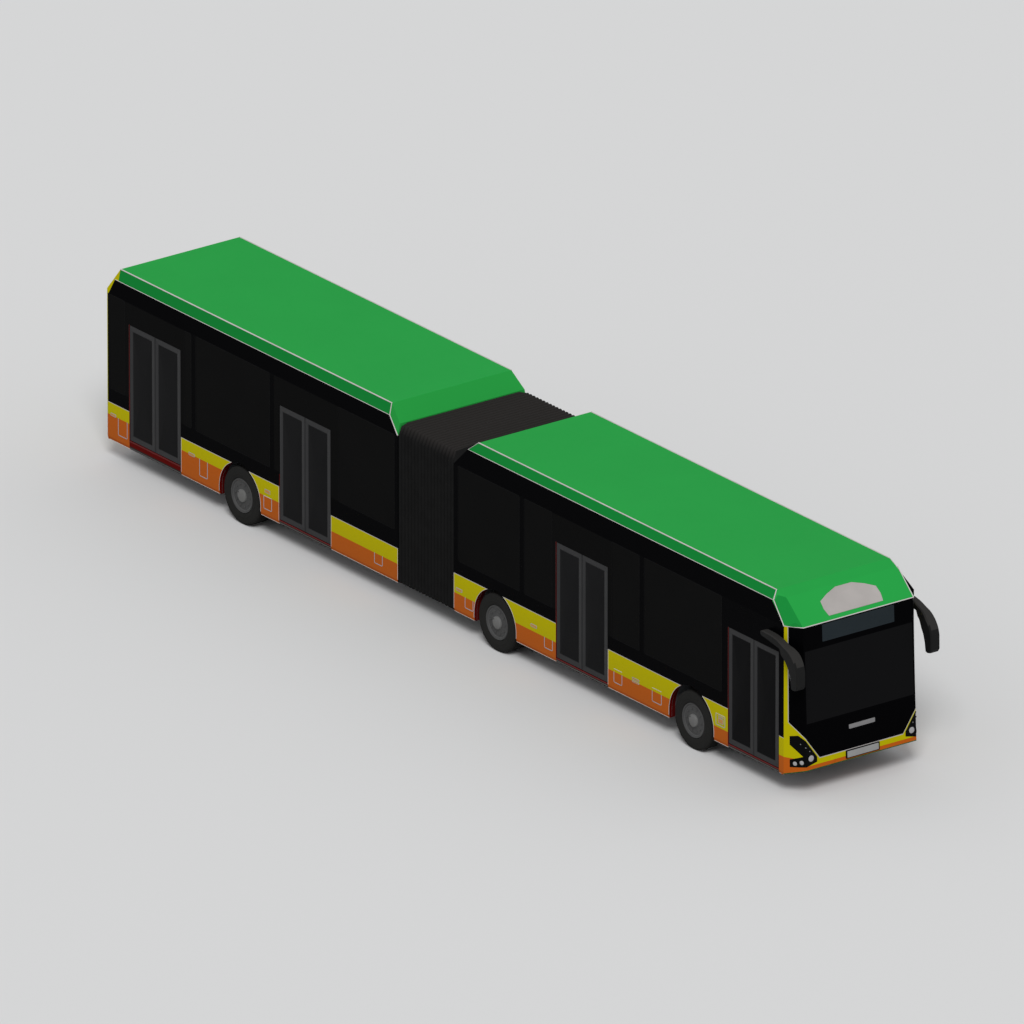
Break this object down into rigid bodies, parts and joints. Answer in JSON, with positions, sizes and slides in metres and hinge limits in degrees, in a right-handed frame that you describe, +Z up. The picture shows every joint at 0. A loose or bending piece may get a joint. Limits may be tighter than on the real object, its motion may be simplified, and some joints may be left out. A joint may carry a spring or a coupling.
{
  "type": "articulated bus",
  "caption": "Low-floor articulated city bus: two cars joined by a turntable and pleated bellows, with inward-swinging double doors, steered front wheels and twin rear wheels.",
  "frame": {"origin": "on the ground and on the centre line, within 60 mm of the centre of the overall box, mirrors included", "axes": "+X forward, +Y to the driver's left, +Z up"},
  "size_m": [18.445, 2.826, 3.3069],
  "materials": {
    "body_paint": "gloss two-tone livery paint",
    "roof_paint": "gloss green paint",
    "mask_paint": "gloss yellow paint",
    "deck": "matt grey under-coat and floor covering",
    "glazing": "tinted safety glass",
    "seat_shell": "moulded shell",
    "trim_black": "grained black",
    "lamp_lens": "smoked clear lens",
    "lamp_red": "red lens",
    "mirror_housing": "black housing",
    "chassis_black": "satin chassis black",
    "turntable_steel": "machined and oiled",
    "hoop_alloy": "mill finish",
    "bellows_cloth": "coated cloth, matt black",
    "tyre": "rubber",
    "rim_grey": "satin grey paint",
    "door_frame": "satin grey frame with dark pane",
    "gear_steel": "brushed tube"
  },
  "bodies": {
    "front_car": {"front_side_right": "body_paint", "front_side_left": "body_paint", "front_roof": "roof_paint", "front_floor": "deck", "front_mask": "mask_paint", "front_glazing": "glazing", "front_seats": "seat_shell", "dashboard": "trim_black", "headlamps": "lamp_lens", "mirrors": "mirror_housing", "front_axle": "chassis_black", "middle_axle": "chassis_black", "front_turntable": "turntable_steel", "bellows": "bellows_cloth"},
    "rear_car": {"rear_side_right": "body_paint", "rear_side_left": "body_paint", "rear_roof": "roof_paint", "rear_floor": "deck", "tail": "mask_paint", "rear_glazing": "glazing", "rear_seats": "seat_shell", "rear_axle": "chassis_black", "drive_unit": "trim_black", "rear_turntable": "turntable_steel", "rear_lamps": "lamp_red"},
    "middle_hoop": {"middle_hoop": "hoop_alloy"},
    "knuckle_right": {"knuckle_right": "chassis_black"},
    "knuckle_left": {"knuckle_left": "chassis_black"},
    "tie_rod": {"tie_rod": "chassis_black"},
    "rear_flap": {"rear_flap": "mask_paint"},
    "front_right_wheel": {"front_right_tyre": "tyre", "front_right_rim": "rim_grey"},
    "front_left_wheel": {"front_left_tyre": "tyre", "front_left_rim": "rim_grey"},
    "middle_right_wheel": {"middle_right_tyre": "tyre", "middle_right_rim": "rim_grey"},
    "middle_left_wheel": {"middle_left_tyre": "tyre", "middle_left_rim": "rim_grey"},
    "rear_right_wheel": {"rear_right_tyre": "tyre", "rear_right_rim": "rim_grey"},
    "rear_left_wheel": {"rear_left_tyre": "tyre", "rear_left_rim": "rim_grey"},
    "door_1_rear_gear": {"door_1_rear_gear": "gear_steel"},
    "door_1_rear_leaf": {"door_1_rear_leaf": "door_frame"},
    "door_1_front_gear": {"door_1_front_gear": "gear_steel"},
    "door_1_front_leaf": {"door_1_front_leaf": "door_frame"},
    "door_2_rear_gear": {"door_2_rear_gear": "gear_steel"},
    "door_2_rear_leaf": {"door_2_rear_leaf": "door_frame"},
    "door_2_front_gear": {"door_2_front_gear": "gear_steel"},
    "door_2_front_leaf": {"door_2_front_leaf": "door_frame"},
    "door_3_rear_gear": {"door_3_rear_gear": "gear_steel"},
    "door_3_rear_leaf": {"door_3_rear_leaf": "door_frame"},
    "door_3_front_gear": {"door_3_front_gear": "gear_steel"},
    "door_3_front_leaf": {"door_3_front_leaf": "door_frame"},
    "door_4_rear_gear": {"door_4_rear_gear": "gear_steel"},
    "door_4_rear_leaf": {"door_4_rear_leaf": "door_frame"},
    "door_4_front_gear": {"door_4_front_gear": "gear_steel"},
    "door_4_front_leaf": {"door_4_front_leaf": "door_frame"}
  },
  "joints": [
    {"name": "articulation", "type": "hinge", "parent": "front_car", "child": "rear_car", "pos_m": [-0.71, 0, 0.34], "axis": [0, 0, 1], "range_deg": [-50, 50], "deforming": ["bellows"]},
    {"name": "hoop_turn", "type": "hinge", "parent": "front_car", "child": "middle_hoop", "pos_m": [-0.71, 0, 0.4], "axis": [0, 0, 1], "range_deg": [-25, 25]},
    {"name": "steering_right", "type": "hinge", "parent": "front_car", "child": "knuckle_right", "pos_m": [6.26, -0.95, 0.4875], "axis": [0, 0, 1], "range_deg": [-45, 45]},
    {"name": "steering_left", "type": "hinge", "parent": "front_car", "child": "knuckle_left", "pos_m": [6.26, 0.95, 0.4875], "axis": [0, 0, 1], "range_deg": [-45, 45]},
    {"name": "tie_rod_pivot", "type": "hinge", "parent": "knuckle_right", "child": "tie_rod", "pos_m": [6.045, -0.95, 0.247], "axis": [0, 0, 1], "range_deg": [-45, 45]},
    {"name": "front_right_spin", "type": "hinge", "parent": "knuckle_right", "child": "front_right_wheel", "pos_m": [6.26, -1.1175, 0.4875], "axis": [0, 1, 0], "continuous": true},
    {"name": "front_left_spin", "type": "hinge", "parent": "knuckle_left", "child": "front_left_wheel", "pos_m": [6.26, 1.1175, 0.4875], "axis": [0, 1, 0], "continuous": true},
    {"name": "middle_right_spin", "type": "hinge", "parent": "front_car", "child": "middle_right_wheel", "pos_m": [1.12, -1.1175, 0.4875], "axis": [0, 1, 0], "continuous": true},
    {"name": "middle_left_spin", "type": "hinge", "parent": "front_car", "child": "middle_left_wheel", "pos_m": [1.12, 1.1175, 0.4875], "axis": [0, 1, 0], "continuous": true},
    {"name": "rear_right_spin", "type": "hinge", "parent": "rear_car", "child": "rear_right_wheel", "pos_m": [-5.66, -1.1175, 0.4875], "axis": [0, 1, 0], "continuous": true},
    {"name": "rear_left_spin", "type": "hinge", "parent": "rear_car", "child": "rear_left_wheel", "pos_m": [-5.66, 1.1175, 0.4875], "axis": [0, 1, 0], "continuous": true},
    {"name": "rear_flap_hinge", "type": "hinge", "parent": "rear_car", "child": "rear_flap", "pos_m": [-9.274, 0, 1.491], "axis": [0, 1, 0], "range_deg": [0, 80]},
    {"name": "door_1_rear_arm", "type": "hinge", "parent": "front_car", "child": "door_1_rear_gear", "pos_m": [7.178, -1.167, 1.4], "axis": [0, 0, 1], "range_deg": [0, 78]},
    {"name": "door_1_rear_fold", "type": "hinge", "parent": "door_1_rear_gear", "child": "door_1_rear_leaf", "pos_m": [7.5095, -1.167, 1.4], "axis": [0, 0, 1], "range_deg": [-156, 0]},
    {"name": "door_1_front_arm", "type": "hinge", "parent": "front_car", "child": "door_1_front_gear", "pos_m": [8.562, -1.167, 1.4], "axis": [0, 0, 1], "range_deg": [-78, 0]},
    {"name": "door_1_front_fold", "type": "hinge", "parent": "door_1_front_gear", "child": "door_1_front_leaf", "pos_m": [8.2305, -1.167, 1.4], "axis": [0, 0, 1], "range_deg": [0, 156]},
    {"name": "door_2_rear_arm", "type": "hinge", "parent": "front_car", "child": "door_2_rear_gear", "pos_m": [2.688, -1.167, 1.4], "axis": [0, 0, 1], "range_deg": [0, 78]},
    {"name": "door_2_rear_fold", "type": "hinge", "parent": "door_2_rear_gear", "child": "door_2_rear_leaf", "pos_m": [3.0295, -1.167, 1.4], "axis": [0, 0, 1], "range_deg": [-156, 0]},
    {"name": "door_2_front_arm", "type": "hinge", "parent": "front_car", "child": "door_2_front_gear", "pos_m": [4.112, -1.167, 1.4], "axis": [0, 0, 1], "range_deg": [-78, 0]},
    {"name": "door_2_front_fold", "type": "hinge", "parent": "door_2_front_gear", "child": "door_2_front_leaf", "pos_m": [3.7705, -1.167, 1.4], "axis": [0, 0, 1], "range_deg": [0, 156]},
    {"name": "door_3_rear_arm", "type": "hinge", "parent": "rear_car", "child": "door_3_rear_gear", "pos_m": [-4.642, -1.167, 1.4], "axis": [0, 0, 1], "range_deg": [0, 78]},
    {"name": "door_3_rear_fold", "type": "hinge", "parent": "door_3_rear_gear", "child": "door_3_rear_leaf", "pos_m": [-4.2955, -1.167, 1.4], "axis": [0, 0, 1], "range_deg": [-156, 0]},
    {"name": "door_3_front_arm", "type": "hinge", "parent": "rear_car", "child": "door_3_front_gear", "pos_m": [-3.198, -1.167, 1.4], "axis": [0, 0, 1], "range_deg": [-78, 0]},
    {"name": "door_3_front_fold", "type": "hinge", "parent": "door_3_front_gear", "child": "door_3_front_leaf", "pos_m": [-3.5445, -1.167, 1.4], "axis": [0, 0, 1], "range_deg": [0, 156]},
    {"name": "door_4_rear_arm", "type": "hinge", "parent": "rear_car", "child": "door_4_rear_gear", "pos_m": [-8.662, -1.167, 1.4], "axis": [0, 0, 1], "range_deg": [0, 78]},
    {"name": "door_4_rear_fold", "type": "hinge", "parent": "door_4_rear_gear", "child": "door_4_rear_leaf", "pos_m": [-8.313, -1.167, 1.4], "axis": [0, 0, 1], "range_deg": [-156, 0]},
    {"name": "door_4_front_arm", "type": "hinge", "parent": "rear_car", "child": "door_4_front_gear", "pos_m": [-7.208, -1.167, 1.4], "axis": [0, 0, 1], "range_deg": [-78, 0]},
    {"name": "door_4_front_fold", "type": "hinge", "parent": "door_4_front_gear", "child": "door_4_front_leaf", "pos_m": [-7.557, -1.167, 1.4], "axis": [0, 0, 1], "range_deg": [0, 156]}
  ],
  "couplings": [
    {"joint": "hoop_turn", "follows": "articulation", "ratio": 0.5},
    {"joint": "steering_left", "follows": "steering_right", "ratio": 1},
    {"joint": "tie_rod_pivot", "follows": "steering_right", "ratio": -1},
    {"joint": "door_1_rear_fold", "follows": "door_1_rear_arm", "ratio": -2},
    {"joint": "door_1_front_arm", "follows": "door_1_rear_arm", "ratio": -1},
    {"joint": "door_1_front_fold", "follows": "door_1_rear_arm", "ratio": 2},
    {"joint": "door_2_rear_fold", "follows": "door_2_rear_arm", "ratio": -2},
    {"joint": "door_2_front_arm", "follows": "door_2_rear_arm", "ratio": -1},
    {"joint": "door_2_front_fold", "follows": "door_2_rear_arm", "ratio": 2},
    {"joint": "door_3_rear_fold", "follows": "door_3_rear_arm", "ratio": -2},
    {"joint": "door_3_front_arm", "follows": "door_3_rear_arm", "ratio": -1},
    {"joint": "door_3_front_fold", "follows": "door_3_rear_arm", "ratio": 2},
    {"joint": "door_4_rear_fold", "follows": "door_4_rear_arm", "ratio": -2},
    {"joint": "door_4_front_arm", "follows": "door_4_rear_arm", "ratio": -1},
    {"joint": "door_4_front_fold", "follows": "door_4_rear_arm", "ratio": 2}
  ]
}
